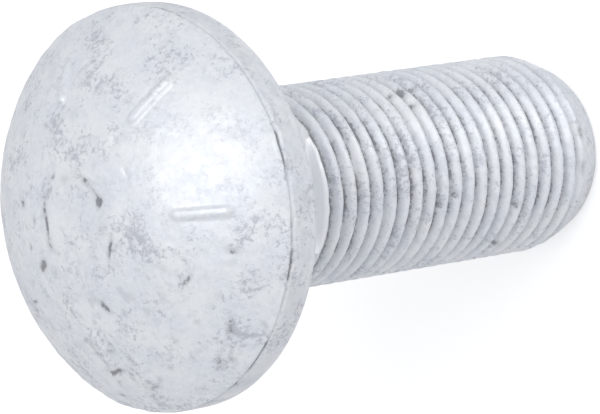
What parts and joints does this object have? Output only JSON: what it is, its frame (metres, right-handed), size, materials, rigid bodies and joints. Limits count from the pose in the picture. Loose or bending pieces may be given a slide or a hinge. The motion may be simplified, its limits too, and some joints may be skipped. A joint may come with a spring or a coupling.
{
  "type": "wheel rim bolt",
  "caption": "Round-head wheel rim bolt with a domed head, a double-flat neck and an M16 shank ending in a plain point.",
  "frame": {"origin": "centre of the point's end face, on which the bolt stands", "axes": "+Z along the bolt's axis towards the head, +X the outward normal of one neck flat"},
  "size_m": [0.0315, 0.0314, 0.0523],
  "materials": {
    "zinc": "hot-dip galvanised steel, matt silver grey"
  },
  "bodies": {
    "root": {"rim_bolt": "zinc"}
  },
  "joints": []
}
